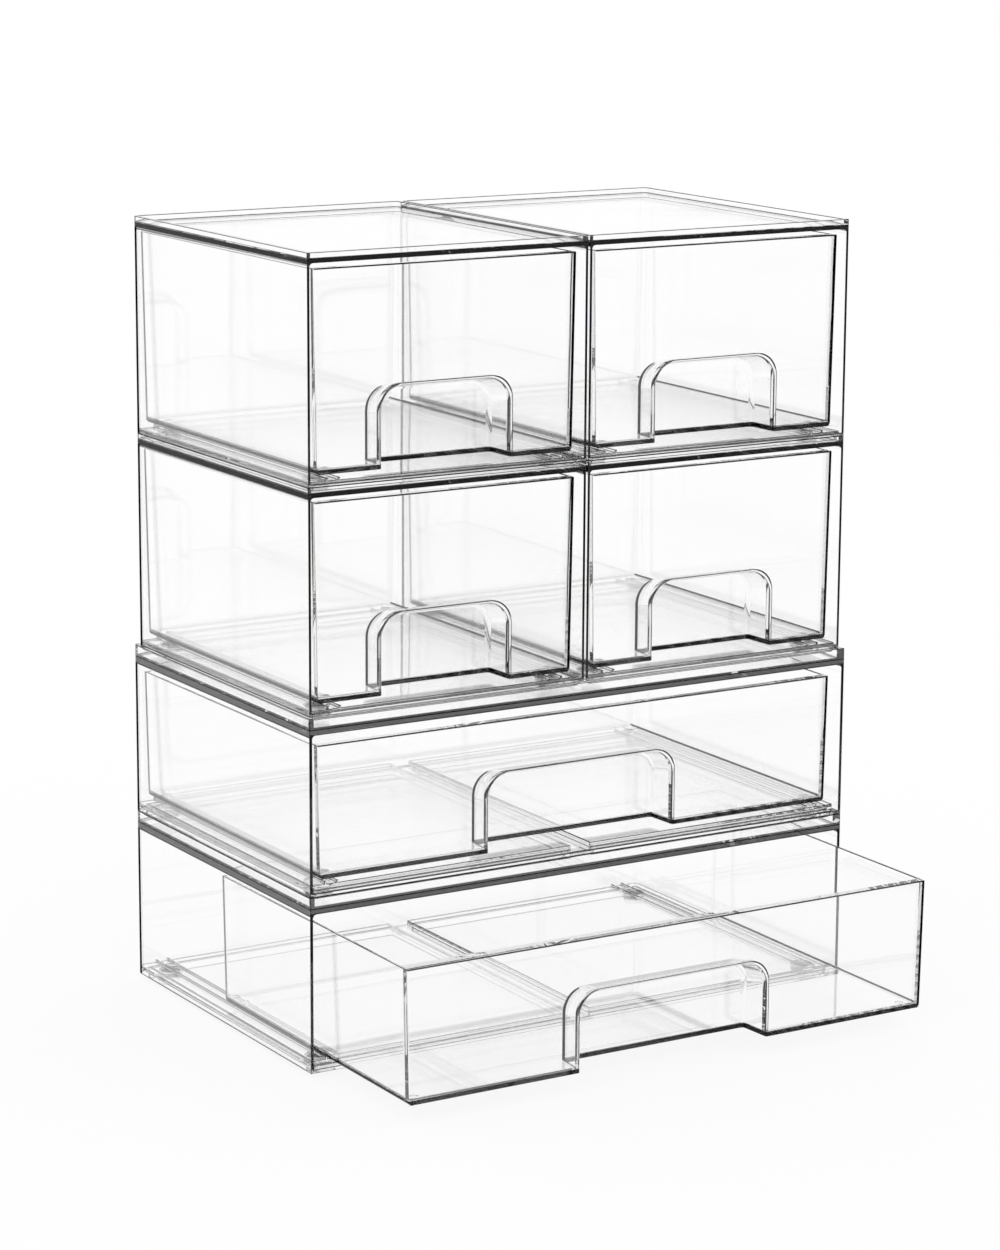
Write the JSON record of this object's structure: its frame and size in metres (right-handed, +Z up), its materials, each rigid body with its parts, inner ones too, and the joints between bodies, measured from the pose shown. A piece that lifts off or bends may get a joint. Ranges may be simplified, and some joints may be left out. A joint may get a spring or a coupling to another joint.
{
  "type": "stackable drawer box",
  "caption": "Clear plastic stackable drawer boxes for crafts and parts: open-fronted housings in a stack, each with a sliding drawer with a finger recess, one shown pulled out.",
  "frame": {"origin": "on the table, in the middle of the outline of the whole stack with its lowest drawer pulled out", "axes": "+X to the right as seen from the front, +Y to the back, +Z up"},
  "size_m": [0.3174, 0.2768, 0.4058],
  "materials": {
    "clear_housing": "polished clear styrene, colourless, edges dark where light is trapped",
    "clear_drawer": "polished clear styrene, colourless",
    "clear_pad": "clear soft silicone, slightly hazy"
  },
  "bodies": {
    "unit_wide_lower": {"housing_wide_lower": "clear_housing", "pads_wide_lower": "clear_pad"},
    "drawer_wide_lower": {"drawer_wide_lower": "clear_drawer"},
    "unit_wide_upper": {"housing_wide_upper": "clear_housing", "pads_wide_upper": "clear_pad"},
    "drawer_wide_upper": {"drawer_wide_upper": "clear_drawer"},
    "unit_middle_left": {"housing_middle_left": "clear_housing", "pads_middle_left": "clear_pad"},
    "drawer_middle_left": {"drawer_middle_left": "clear_drawer"},
    "unit_middle_right": {"housing_middle_right": "clear_housing", "pads_middle_right": "clear_pad"},
    "drawer_middle_right": {"drawer_middle_right": "clear_drawer"},
    "unit_top_left": {"housing_top_left": "clear_housing", "pads_top_left": "clear_pad"},
    "drawer_top_left": {"drawer_top_left": "clear_drawer"},
    "unit_top_right": {"housing_top_right": "clear_housing", "pads_top_right": "clear_pad"},
    "drawer_top_right": {"drawer_top_right": "clear_drawer"}
  },
  "joints": [
    {"name": "lift_wide_upper", "type": "slide", "parent": "unit_wide_lower", "child": "unit_wide_upper", "axis": [0, 0, 1], "range_m": [0, 0.04]},
    {"name": "lift_middle_left", "type": "slide", "parent": "unit_wide_upper", "child": "unit_middle_left", "axis": [0, 0, 1], "range_m": [0, 0.04]},
    {"name": "lift_middle_right", "type": "slide", "parent": "unit_wide_upper", "child": "unit_middle_right", "axis": [0, 0, 1], "range_m": [0, 0.04]},
    {"name": "lift_top_left", "type": "slide", "parent": "unit_middle_left", "child": "unit_top_left", "axis": [0, 0, 1], "range_m": [0, 0.04]},
    {"name": "lift_top_right", "type": "slide", "parent": "unit_middle_right", "child": "unit_top_right", "axis": [0, 0, 1], "range_m": [0, 0.04]},
    {"name": "slide_wide_lower", "type": "slide", "parent": "unit_wide_lower", "child": "drawer_wide_lower", "axis": [0, -1, 0], "range_m": [-0.087, 0.063]},
    {"name": "slide_wide_upper", "type": "slide", "parent": "unit_wide_upper", "child": "drawer_wide_upper", "axis": [0, -1, 0], "range_m": [0, 0.15]},
    {"name": "slide_middle_left", "type": "slide", "parent": "unit_middle_left", "child": "drawer_middle_left", "axis": [0, -1, 0], "range_m": [0, 0.15]},
    {"name": "slide_middle_right", "type": "slide", "parent": "unit_middle_right", "child": "drawer_middle_right", "axis": [0, -1, 0], "range_m": [0, 0.15]},
    {"name": "slide_top_left", "type": "slide", "parent": "unit_top_left", "child": "drawer_top_left", "axis": [0, -1, 0], "range_m": [0, 0.15]},
    {"name": "slide_top_right", "type": "slide", "parent": "unit_top_right", "child": "drawer_top_right", "axis": [0, -1, 0], "range_m": [0, 0.15]}
  ]
}
